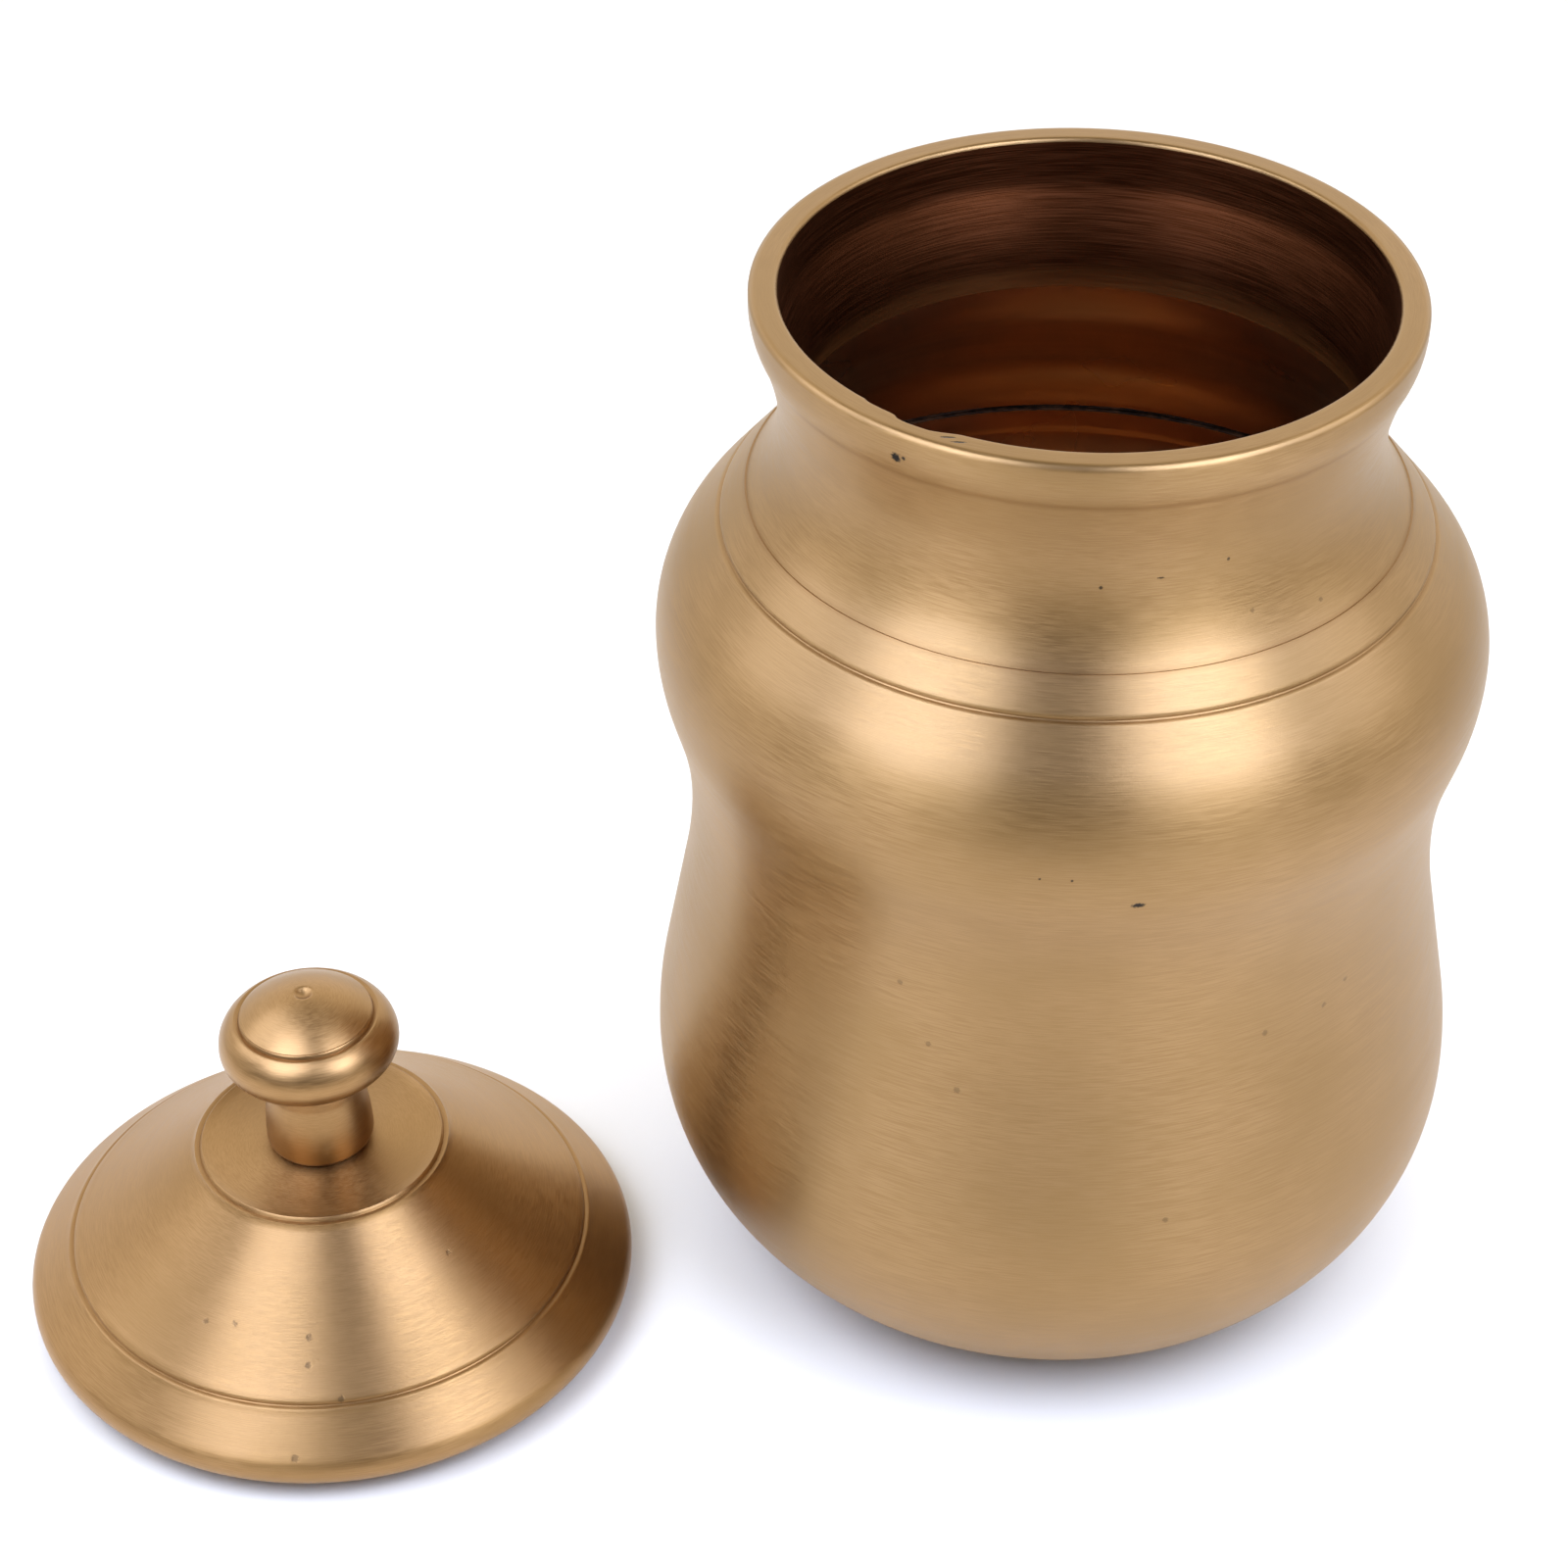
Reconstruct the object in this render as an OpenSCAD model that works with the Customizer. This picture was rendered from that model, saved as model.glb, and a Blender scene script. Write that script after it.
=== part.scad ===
// Brass kalash pot with a loose lid.
// The pot stands on the origin with its axis on +Z. The lid lies level beside it,
// resting on its register ring, with the knob up.
// Every outline is turned: it is a chain of arcs, and inset by the wall it gives the inside.

/* [Pot] */
// Height from the base to the rim
pot_h = 160; // [158:0.5:164]
// Outer diameter of the rim
rim_d = 90; // [89:0.5:91]
// Diameter of the mouth's straight land, which takes the lid's register
mouth_d = 82.2; // [81.8:0.1:82.6]
// Least diameter of the neck
neck_d = 82.3; // [82:0.1:82.6]
// Height of the neck's narrowest point
neck_h = 141.7; // [141:0.1:142.4]
// Height of the crease under the rim's lip
lip_h = 153.3; // [152.8:0.1:154]
// Greatest diameter of the upper bulge
bulge_d = 116.6; // [116:0.1:117.2]
// Height of the bulge's widest point, where the two halves join
bulge_h = 106; // [105:0.5:107]
// Least diameter of the waist
waist_d = 107.3; // [106.5:0.1:108]
// Height of the waist
waist_h = 77; // [76:0.5:78]
// Greatest diameter of the belly
belly_d = 118.5; // [118:0.1:119]
// Height of the belly's widest point
belly_h = 34; // [33.5:0.5:35]
// Wall thickness of both halves
wall = 2.4; // [2:0.1:2.6]
// Thickness of the floor
floor_t = 3; // [2.4:0.1:4]

/* [Seam] */
// Height of the tongue that rises inside the upper half
tongue_h = 0.7; // [0.7:0.1:3]
// Thickness of the tongue
tongue_t = 1.5; // [1.2:0.1:1.6]
// How far the tongue stands proud of the inner wall
tongue_proud = 0.5; // [0.3:0.1:0.8]
// Thickness of the brazing film beside the tongue
braze_t = 0.15; // [0.1:0.05:0.2]
// Height of the brazed gap left above the tongue
braze_gap = 0.5; // [0.5:0.1:1]

/* [Lid] */
// Outer diameter of the lid
lid_d = 90.5; // [89.5:0.5:91.5]
// Place of the lid's axis, across
lid_x = -106.1; // [-112:0.1:-106]
// Place of the lid's axis, along
lid_y = -34; // [-40:0.1:-32]
// Thickness of the lid's shell
lid_t = 2; // [1.8:0.1:2.4]
// How far the register ring stands below the seat
register_drop = 2.5; // [2:0.1:3]
// Outer diameter of the register ring
register_d = 81.6; // [81.4:0.1:81.7]
// Thickness of the register ring
register_t = 1.6; // [1.4:0.1:2]
// Height of the turned platform that carries the knob
platform_h = 30.1; // [29.5:0.1:31]
// Diameter of the platform
platform_d = 36.4; // [34:0.1:38]
// Diameter of the groove between the cone and the rounded band
band_d = 77.1; // [76:0.1:78]
// Height of that groove
band_h = 13.4; // [13:0.1:14]

/* [Knob] */
// Greatest diameter of the knob's cap
knob_d = 26.2; // [25.6:0.1:27]
// Height of the cap's widest point above the platform
knob_h = 19; // [18.5:0.1:19.5]
// Height of the cap's top above the platform
knob_top = 27.8; // [27:0.1:28.5]
// Diameter of the stem's throat, under the cap
stem_d = 14; // [13.4:0.1:14.6]
// Diameter of the stem's swelling, just above its foot
foot_d = 15.8; // [15.4:0.1:16.4]
// Lean of the knob towards -X, in degrees, as it was fitted
knob_lean = 1.2; // [0:0.1:1.5]
// Diameter of the centre mark left by the lathe
centre_d = 2.8; // [2.2:0.1:3.2]
// Diameter of the screw that holds the knob
screw_d = 5; // [4:0.5:6]

/* [Hidden] */
$fn = 180;
brass = "#b8935a";
cast_brass = "#a57f4b";
dark_braze = "#3b2a1c";

// Steps in one arc of an outline
arc_steps = 14;
// Slack that lets one cutting solid run past another
past = 1;

// Radii of the pot's arcs, in order from the base up
base_round = 37;
belly_round = 58;
waist_round_low = 80;
waist_round_top = 60;
bulge_round_low = 31;
bulge_round_top = 21.8;
neck_round = 19.5;
flare_round = 48;
lip_round = 11;
// Slope at which the neck's arc runs into the wider arc of the flare
flare_slope = 12;
// Depth of the rim's rounded lip, and radii of the rim's two edges
lip_land = 2;
rim_edge = 1;
mouth_edge = 0.5;
// Depth and width of a turned groove
groove_depth = 0.45;
groove_w = 1;
// Step where the neck meets the shoulder
neck_step = 0.2;
// Height of the groove that closes the shoulder band
shoulder_h = 124.7;

// Centres of the pot's arcs
base_c = [belly_d / 2 - base_round, belly_h];
belly_c = [belly_d / 2 - belly_round, belly_h];
waist_low_c = [waist_d / 2 + waist_round_low, waist_h];
waist_top_c = [waist_d / 2 + waist_round_top, waist_h];
bulge_low_c = [bulge_d / 2 - bulge_round_low, bulge_h];
bulge_top_c = [bulge_d / 2 - bulge_round_top, bulge_h];
neck_c = [neck_d / 2 + neck_round, neck_h];
flare_c = neck_c + (flare_round - neck_round) * [cos(flare_slope), -sin(flare_slope)];
lip_c = [rim_d / 2 - lip_round, pot_h - lip_land];

// Slopes of the straight runs that touch two neighbouring arcs
belly_slope = tangent_slope(belly_c, belly_round, waist_low_c, waist_round_low, 1);
waist_slope = tangent_slope(bulge_low_c, bulge_round_low, waist_top_c, waist_round_top, -1);
shoulder_slope = tangent_slope(bulge_top_c, bulge_round_top, neck_c, neck_round, 1);

// Direction of the outline's normal on the straight run between a convex arc and a hollow one.
// Arcs whose centres are too near for such a run are joined along the line of their centres.
function tangent_slope(convex_c, convex_r, hollow_c, hollow_r, side) =
    let (d = hollow_c - convex_c)
    atan2(d.y, d.x) - side * acos(min(1, (convex_r + hollow_r) / norm(d)));

// Points of one arc, by the direction of the outline's normal. r is negative on a hollow arc,
// and inset moves the arc towards the metal's inner face.
function arc(c, r, from, to, inset = 0) =
    [for (i = [0 : arc_steps])
        let (a = from + (to - from) * i / arc_steps)
        c + (r - inset) * [cos(a), sin(a)]];

// Direction of an arc's normal where it reaches a height
function slope_at(c, r, z, inset = 0) = asin((z - c.y) / (r - inset));

// Side of the lower half, from a height near the base up to the seam
function lower_side(z, inset = 0) = concat(
    arc(base_c, base_round, slope_at(base_c, base_round, z, inset), 0, inset),
    arc(belly_c, belly_round, 0, belly_slope, inset),
    arc(waist_low_c, -waist_round_low, belly_slope, 0, inset),
    arc(waist_top_c, -waist_round_top, 0, waist_slope, inset),
    arc(bulge_low_c, bulge_round_low, waist_slope, 0, inset));

// Side of the upper half, from the seam up to the lip's crease
function upper_side(inset = 0) = concat(
    arc(bulge_top_c, bulge_round_top, 0, shoulder_slope, inset),
    arc(neck_c, -neck_round, shoulder_slope, -flare_slope, inset),
    arc(flare_c, -flare_round, -flare_slope, slope_at(flare_c, -flare_round, lip_h), inset));

// Lip and top of the rim
lip_profile = concat(
    arc(lip_c, lip_round, slope_at(lip_c, lip_round, lip_h), 0),
    arc([rim_d / 2 - rim_edge, pot_h - rim_edge], rim_edge, 0, 90),
    [[0, pot_h]]);

// A ring of rectangular section
module ring(r_in, r_out, z_low, z_high) {
    translate([0, 0, z_low])
    difference() {
        cylinder(r = r_out, h = z_high - z_low);
        translate([0, 0, -past]) cylinder(r = r_in, h = z_high - z_low + 2 * past);
    }
}

// Cutter for a turned groove at a point of an outline, opening outwards along dir
module groove_cut(r, z, dir) {
    rotate_extrude()
    translate([r, z])
    rotate(dir)
    polygon([[-groove_depth, 0], [past, groove_w * (groove_depth + past) / (2 * groove_depth)],
             [past, -groove_w * (groove_depth + past) / (2 * groove_depth)]]);
}

// Point of the shoulder's straight run at a height
shoulder_start = bulge_top_c + bulge_round_top * [cos(shoulder_slope), sin(shoulder_slope)];
neck_line = neck_c - neck_round * [cos(shoulder_slope), sin(shoulder_slope)];
shoulder_r = shoulder_start.x - (shoulder_h - shoulder_start.y) * tan(shoulder_slope);

// Radii of the seam
seam_in = bulge_d / 2 - wall - tongue_proud;
seam_mid = seam_in + tongue_t;
seam_out = seam_mid + braze_t;
tongue_root = 3;
braze_back = 0.8;

module upper_shell() {
    color(brass)
    difference() {
        rotate_extrude()
        polygon(concat([[0, bulge_h]], upper_side(), lip_profile));
        rotate_extrude()
        polygon(concat([[0, bulge_h - past], [bulge_d / 2 - wall, bulge_h - past]],
                       upper_side(wall), [[0, lip_h]]));
        translate([0, 0, lip_h - past]) cylinder(d = mouth_d, h = pot_h);
        translate([0, 0, pot_h - mouth_edge])
        cylinder(r1 = mouth_d / 2, r2 = mouth_d / 2 + mouth_edge + past, h = mouth_edge + past);
        translate([0, 0, bulge_h - past])
        cylinder(r = seam_out, h = past + tongue_h + braze_gap);
        groove_cut(shoulder_r, shoulder_h, shoulder_slope);
        neck_step_cut();
    }
}

// Thin skin taken off the neck, which leaves a fine step where it meets the shoulder
module neck_step_cut() {
    rotate_extrude()
    polygon(concat(
        arc(neck_c, -neck_round, shoulder_slope, 0, neck_step),
        [[neck_d / 2 - neck_step + past, neck_h], [neck_line.x + past, neck_line.y]]));
}

module lower_shell() {
    color(brass)
    union() {
        difference() {
            rotate_extrude()
            polygon(concat([[0, 0]], lower_side(0), [[0, bulge_h]]));
            rotate_extrude()
            polygon(concat([[0, floor_t]], lower_side(floor_t, wall),
                           [[bulge_d / 2 - wall, bulge_h + past], [0, bulge_h + past]]));
        }
        ring(seam_in, seam_mid, bulge_h - tongue_root, bulge_h + tongue_h);
    }
}

module seam_braze() {
    color(dark_braze)
    union() {
        ring(seam_mid, seam_out, bulge_h, bulge_h + tongue_h);
        ring(seam_out - braze_back, seam_out, bulge_h + tongue_h, bulge_h + tongue_h + braze_gap);
    }
}

// The lid's outline
edge_round = 3;
edge_under = 3.5;
band_slope = 45;
seat_h = register_drop;
edge_h = seat_h + edge_under;
edge_c = [lid_d / 2 - edge_round, edge_h];
under_c = [lid_d / 2 - edge_under, edge_h];
cone_sag = 0.5;
platform_dip = 0.4;
platform_slope = 70;
register_top = 7.2;
screw_hole = screw_d + 0.6;

// Points of the slightly hollow cone between the band's groove and the platform
function cone_side(drop = 0) =
    [for (i = [0 : arc_steps])
        let (t = i / arc_steps, hollow = 4 * cone_sag * t * (1 - t))
        [band_d / 2 + (platform_d / 2 - band_d / 2) * t,
         band_h + (platform_h - band_h) * t - hollow - drop]];

// Points of the dished platform, from its edge to the knob's foot
platform_top =
    [for (i = [0 : arc_steps])
        let (t = i / arc_steps)
        [platform_d / 2 + (foot_d / 2 - platform_d / 2) * t,
         platform_h - platform_dip * sin(180 * t)]];

// Vertical thickness that gives the shell its wall on the cone
cone_drop = lid_t / cos(atan((platform_h - band_h) / (band_d / 2 - platform_d / 2)));

module lid_shell() {
    color(brass)
    translate([lid_x, lid_y, 0])
    difference() {
        rotate_extrude()
        polygon(concat(
            [[0, seat_h]],
            arc(under_c, edge_under, -90, 0),
            arc(edge_c, edge_round, 0, band_slope),
            cone_side(), platform_top, [[0, platform_h]]));
        rotate_extrude()
        polygon(concat(
            [[0, seat_h - past], [register_d / 2, seat_h - past], [register_d / 2, register_top],
             [register_d / 2 - register_t, register_top]],
            cone_side(cone_drop), [[0, platform_h - cone_drop]]));
        cylinder(d = screw_hole, h = platform_h + past);
        groove_cut(band_d / 2, band_h, band_slope);
        groove_cut(platform_d / 2, platform_h, platform_slope);
    }
}

module register_ring() {
    color(cast_brass)
    translate([lid_x, lid_y, 0])
    ring(register_d / 2 - register_t, register_d / 2, 0, register_top);
}

// The knob's outline, from the platform up
cap_round = 5.3;
cap_slope = 65;
cap_low_round = 3.2;
cap_low_slope = -75;
stem_top = 13;
foot_round = 2;
foot_slope = -75;
foot_sink = 0.3;
flank_round = 40;
flank_slope = acos(1 - (foot_d - stem_d) / (2 * flank_round));
cap_c = [knob_d / 2 - cap_round, knob_h];
cap_low_c = [knob_d / 2 - cap_low_round, knob_h];
dome_r = cap_c.x + cap_round * cos(cap_slope);
dome_h = cap_c.y + cap_round * sin(cap_slope);
dome_points =
    [for (i = [0 : arc_steps])
        let (t = 1 - i / arc_steps)
        [dome_r * t, knob_top - (knob_top - dome_h) * t * t]];

// The centre mark is a shallow dish, cut by a sphere that stands above the cap
mark_round = 1.8;
mark_rise = sqrt(mark_round * mark_round - centre_d * centre_d / 4);

// The screw's hole
thread_slack = 0.05;
thread_depth = 9;

// The knob as it comes off the lathe, before its foot is faced to sit level
module knob_turning() {
    difference() {
        rotate_extrude()
        polygon(concat(
            [[0, -foot_sink], [foot_d / 2 - foot_round, -foot_sink]],
            arc([foot_d / 2 - foot_round, foot_round], foot_round, foot_slope, 0),
            arc([foot_d / 2 - flank_round, foot_round], flank_round, 0, flank_slope),
            [[stem_d / 2, stem_top]],
            arc(cap_low_c, cap_low_round, cap_low_slope, 0),
            arc(cap_c, cap_round, 0, cap_slope),
            dome_points));
        groove_cut(dome_r, dome_h, cap_slope);
        translate([0, 0, knob_top + mark_rise]) sphere(r = mark_round);
    }
}

module knob() {
    color(brass)
    translate([lid_x, lid_y, platform_h])
    difference() {
        rotate([0, -knob_lean, 0]) knob_turning();
        translate([0, 0, -past]) cylinder(d = knob_d, h = past);
        translate([0, 0, -past]) cylinder(d = screw_d + 2 * thread_slack, h = thread_depth + past);
    }
}

washer_d = 12;
washer_t = 1;
head_d = 9;
head_h = 3;
slot_w = 1.2;
slot_depth = 1.4;
washer_top = platform_h - cone_drop;

module knob_washer() {
    color(brass)
    translate([lid_x, lid_y, 0])
    ring(screw_hole / 2, washer_d / 2, washer_top - washer_t, washer_top);
}

module knob_screw() {
    color(brass)
    translate([lid_x, lid_y, washer_top - washer_t])
    difference() {
        union() {
            translate([0, 0, -head_h]) cylinder(d = head_d, h = head_h);
            cylinder(d = screw_d, h = cone_drop + washer_t + thread_depth - past);
        }
        translate([-head_d, -slot_w / 2, -head_h - past]) cube([2 * head_d, slot_w, slot_depth + past]);
    }
}

upper_shell();
lower_shell();
seam_braze();
lid_shell();
register_ring();
knob();
knob_washer();
knob_screw();
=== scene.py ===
"""Brass kalash pot with its lid beside it: fine turned meshes, brushed brass and studio light."""
import math

import bpy
import numpy as np
from mathutils import Euler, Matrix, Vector


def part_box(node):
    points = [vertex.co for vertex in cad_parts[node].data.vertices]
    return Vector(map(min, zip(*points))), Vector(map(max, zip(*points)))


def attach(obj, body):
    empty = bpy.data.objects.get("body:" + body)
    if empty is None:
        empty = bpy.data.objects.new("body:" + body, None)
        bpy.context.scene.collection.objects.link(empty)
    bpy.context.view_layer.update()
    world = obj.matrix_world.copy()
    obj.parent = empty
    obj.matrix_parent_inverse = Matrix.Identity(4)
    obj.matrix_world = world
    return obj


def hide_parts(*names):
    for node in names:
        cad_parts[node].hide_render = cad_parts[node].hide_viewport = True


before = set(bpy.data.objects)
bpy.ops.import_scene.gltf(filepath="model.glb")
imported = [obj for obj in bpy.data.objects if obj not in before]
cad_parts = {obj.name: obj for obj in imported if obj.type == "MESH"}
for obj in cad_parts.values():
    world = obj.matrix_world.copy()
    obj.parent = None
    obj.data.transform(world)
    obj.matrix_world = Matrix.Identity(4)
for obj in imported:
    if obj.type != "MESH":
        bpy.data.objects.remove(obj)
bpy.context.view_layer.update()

SCENE = bpy.context.scene
MM = 0.001

# Driving sizes in millimetres, read from the frame where a node's box shows them
UPPER_LOW, UPPER_HIGH = (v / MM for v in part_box("upper_shell"))
LID_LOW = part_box("lid_shell")[0] / MM
REGISTER_LOW, REGISTER_HIGH = (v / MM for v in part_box("register_ring"))
KNOB_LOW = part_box("knob")[0] / MM
POT_H = UPPER_HIGH.z
SEAM_H = UPPER_LOW.z
LID_X = (REGISTER_LOW.x + REGISTER_HIGH.x) / 2
LID_Y = (REGISTER_LOW.y + REGISTER_HIGH.y) / 2
PLATFORM_H = KNOB_LOW.z

# The pot's outline: diameters, heights and the radii of its arcs
RIM_D, MOUTH_D = 90.0, 82.2
NECK_D, NECK_H = 82.3, 141.7
LIP_H, LIP_LAND, LIP_ROUND = 153.3, 2.0, 11.0
BULGE_D = 116.6
WAIST_D, WAIST_H = 107.3, 77.0
BELLY_D, BELLY_H = 118.5, 34.0
WALL, FLOOR_T = 2.4, 3.0
BASE_ROUND, BELLY_ROUND = 37.0, 58.0
WAIST_ROUND_LOW, WAIST_ROUND_TOP = 80.0, 60.0
BULGE_ROUND_LOW, BULGE_ROUND_TOP = 31.0, 21.8
NECK_ROUND, FLARE_ROUND, FLARE_SLOPE = 19.5, 48.0, 12.0
RIM_EDGE, MOUTH_EDGE = 1.0, 0.6
NECK_STEP, SHOULDER_H = 0.2, 124.7
GROOVE_DEPTH, GROOVE_W = 0.42, 0.9
GROOVE_REACH, GROOVE_BELL = 0.75, 0.36          # half length and bell width, in groove widths
TONGUE_H, TONGUE_T, TONGUE_PROUD, TONGUE_ROOT, TONGUE_EDGE = 0.7, 1.5, 0.5, 3.0, 0.2
BRAZE_T, BRAZE_GAP = 0.15, 0.5
BEAD_R, BEAD_IN, BEAD_UP = 0.27, 0.75, 0.22     # the filler's bead, from the tongue's inner edge
FILLER_DEPTH = 0.35                             # the tongue's top is dark down to here
NECK_FINISH_H = 139.6                           # the brushed part inside the neck ends here
RIM_FACE_T = 0.2                                # the rim's face has its own finish down to here
# The line under the lip is no groove: painted shade marks it at LIP_LINE_R
LIP_LINE_R = 43.9                               # where the line under the lip is marked

# The lid's and the knob's outline
LID_D, LID_T = 90.5, 2.0
SEAT_H = LID_LOW.z
REGISTER_D, REGISTER_T, REGISTER_TOP = 81.6, 1.6, REGISTER_HIGH.z
PLATFORM_D, PLATFORM_DIP, BAND_D, BAND_H = 36.4, 0.4, 77.1, 13.4
PLATFORM_GROOVE_W, PLATFORM_GROOVE_DEPTH, PLATFORM_GROOVE_SLOPE = 0.8, 0.34, 68
DIP_SHARE = 0.57                                # the dip ends this far in from the platform's edge
EDGE_ROUND, EDGE_UNDER, BAND_SLOPE, CONE_SAG, CONE_STOP = 3.0, 3.5, 45.0, 0.5, 0.6
SCREW_HOLE = 5.6
KNOB_D, KNOB_H, KNOB_TOP = 26.2, 19.0, 27.8
STEM_D, STEM_TOP, FOOT_D, FOOT_ROUND, FLANK_ROUND = 14.0, 13.0, 15.8, 2.0, 40.0
CAP_ROUND, CAP_SLOPE, CAP_LOW_ROUND = 5.3, 65.0, 3.2
CAP_GROOVE_W, CAP_GROOVE_DEPTH = 0.75, 0.4
THROAT_BLEND = 1.6                              # power of the curve from the stem to the cap
KNOB_LEAN = 1.2
MARK_R, MARK_DEPTH = 1.4, 0.7

# The chip in the mouth's edge: how far it reaches outwards, by azimuth from the front
NICK = [(-41, 0.0), (-40, 0.3), (-34, 0.35), (-32.6, 1.0), (-30.5, 1.15), (-26, 1.1),
        (-24, 0.65), (-21, 0.0)]
NICK_DROP, NICK_WIDTH = 3.0, 2.5                # it fades out below the rim and outwards

# Marks on the pot's skin: azimuth, height, radius, depth and a factor on distances along X,
# which draws the mark out where it is below 1
PITS = [(-30.5, 156.1, 0.85, 1.0, 1.0), (-29.0, 156.4, 0.35, 0.9, 1.0),
        (10.8, 101.3, 0.5, 0.95, 0.42), (-2.0, 105.8, 0.22, 0.8, 1.0),
        (2.1, 105.8, 0.22, 0.8, 1.0), (5.1, 139.7, 0.3, 0.8, 1.0),
        (28.5, 141.8, 0.3, 0.7, 1.0), (15.8, 140.7, 0.16, 0.75, 0.05)]

# Faint stains on the pot: azimuth, height and radius, before they are spread
STAINS = [(-12.5, 64.2, 0.4), (-17.3, 70.6, 0.35), (-22.0, 79.9, 0.35), (33.3, 70.6, 0.4),
          (44.4, 70.7, 0.35), (48.9, 72.9, 0.35), (42.3, 52.1, 0.4), (57.2, 50.5, 0.4),
          (17.7, 44.4, 0.35), (33.1, 133.9, 0.3), (47.6, 131.7, 0.3)]
STAIN_SPREAD, STAIN_DEPTH = 1.5, 0.3

# Strokes on the rim's flat top: azimuth and distance from the axis
STROKES = [(-22.4, 42.75), (-20.1, 43.15)]
STROKE_R, STROKE_DEPTH, STROKE_STRETCH = 0.2, 0.9, 0.17

# Specks on the lid: azimuth, distance from the lid's axis and height
LID_STAINS = [(53.8, 26.4, 23.4), (-23.3, 31.3, 19.3), (-15.0, 30.5, 20.0), (3.9, 44.0, 8.4),
              (6.1, 34.1, 17.1), (13.3, 38.0, 13.9), (6.2, 31.0, 19.5)]
LID_STAIN_R, LID_STAIN_DEPTH = 0.65, 0.4

# How finely the turned meshes are cut, how far they stay inside the CAD model's own facets,
# the angle of a sharp edge, and how wide the painted shade at a groove and the painted highlight on
# a rounded edge are
STEP, FINE_STEP = 0.8, 0.12
AROUND_POT, AROUND_LID, AROUND_KNOB = 384, 384, 256
SKIN = 0.02
SHARP_ANGLE = 38.0
CREASE_SHADE_W, EDGE_HIGHLIGHT_W = 0.35, 0.8

# Base colours, brushed and as cast
BRASS = (0.375, 0.235, 0.102)
RIM_BRASS = (0.325, 0.198, 0.078)
# The neck's inside: brushed brass darkened as painted shade inside the mouth
NECK_PAINTED_SHADE = (0.108, 0.040, 0.0160)
LID_BRASS = (0.385, 0.230, 0.094)
KNOB_BRASS = (0.375, 0.226, 0.095)
CAST = (0.68, 0.435, 0.235)
PIT_COLOUR = (0.012, 0.008, 0.004)

# Camera: place in metres, turn in radians and lens in millimetres
CAMERA_AT = (0.0, -0.4308, 0.4048)
CAMERA_TURN = (math.pi / 2 - 0.6524, 0.0016, 0.0924)
SENSOR_W, LENS = 36.0, 85.17

# Lights: name, azimuth, elevation, distance in metres, size and power; they aim at AIM
BOXES = [("left_box", -40, 44, 0.42, (0.30, 0.35), 1.24),
         ("left_far", -89, 38, 0.5, (0.33, 0.38), 0.58),
         ("right_box", 47, 44, 0.42, (0.26, 0.35), 1.25),
         ("front_fill", 3, 48, 0.5, (0.16, 0.2), 0.035),
         ("right_far", 88, 40, 0.5, (0.33, 0.38), 0.55)]
FLOOR_WASH = ("floor_wash", 0, 89, 2.5, (3.5, 3.5), 38)
AIM, WASH_AIM = (-0.03, -0.01, 0.08), (0, 0.1, 0)
BOX_COLOUR, WASH_COLOUR = (0.88, 1.0, 1.36), (1.0, 1.0, 1.0)

# The room's light in front, behind and overhead, and the floor
ROOM_FRONT, ROOM_BACK, ROOM_TOP = 0.23, 1.36, 0.6
FLOOR_HALF, FLOOR_COLOUR, FLOOR_ROUGHNESS = 8.0, (0.74, 0.715, 0.655, 1), 0.9
EXPOSURE = -0.17


def direction(degrees):
    """Unit vector in the outline's plane."""
    return np.array([math.cos(math.radians(degrees)), math.sin(math.radians(degrees))])


def arc(centre, radius, start, end, inset=0.0, step=STEP):
    """Points of an arc by the direction of the outline's normal; the radius is negative on a
    hollow arc."""
    length = abs(radius - inset) * math.radians(abs(end - start))
    count = max(4, int(length / step))
    return [np.array(centre) + (radius - inset) * direction(start + (end - start) * i / count)
            for i in range(count + 1)]


def run(a, b, step=STEP):
    """Points of the straight run from a to b."""
    a, b = np.array(a, float), np.array(b, float)
    count = max(1, int(np.linalg.norm(b - a) / step))
    return [a + (b - a) * i / count for i in range(count + 1)]


def tangent_slope(convex, convex_r, hollow, hollow_r, side):
    """Direction of the normal on the straight run between a convex arc and a hollow one."""
    d = np.array(hollow) - np.array(convex)
    spread = math.degrees(math.acos(min(1.0, (convex_r + hollow_r) / np.linalg.norm(d))))
    return math.degrees(math.atan2(d[1], d[0])) - side * spread


def slope_at(centre, radius, height, inset=0.0):
    """Direction of an arc's normal where it reaches a height."""
    return math.degrees(math.asin((height - centre[1]) / (radius - inset)))


def groove(at, normal_degrees, width=GROOVE_W, depth=GROOVE_DEPTH):
    """Rounded groove across an outline whose normal points the given way."""
    normal = direction(normal_degrees)
    along = np.array([-normal[1], normal[0]])
    count = max(6, int(width / FINE_STEP))
    places = np.linspace(-GROOVE_REACH * width, GROOVE_REACH * width, count + 1)
    return [np.array(at) + along * p - normal * depth * math.exp(-(p / (GROOVE_BELL * width)) ** 2)
            for p in places]


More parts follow.
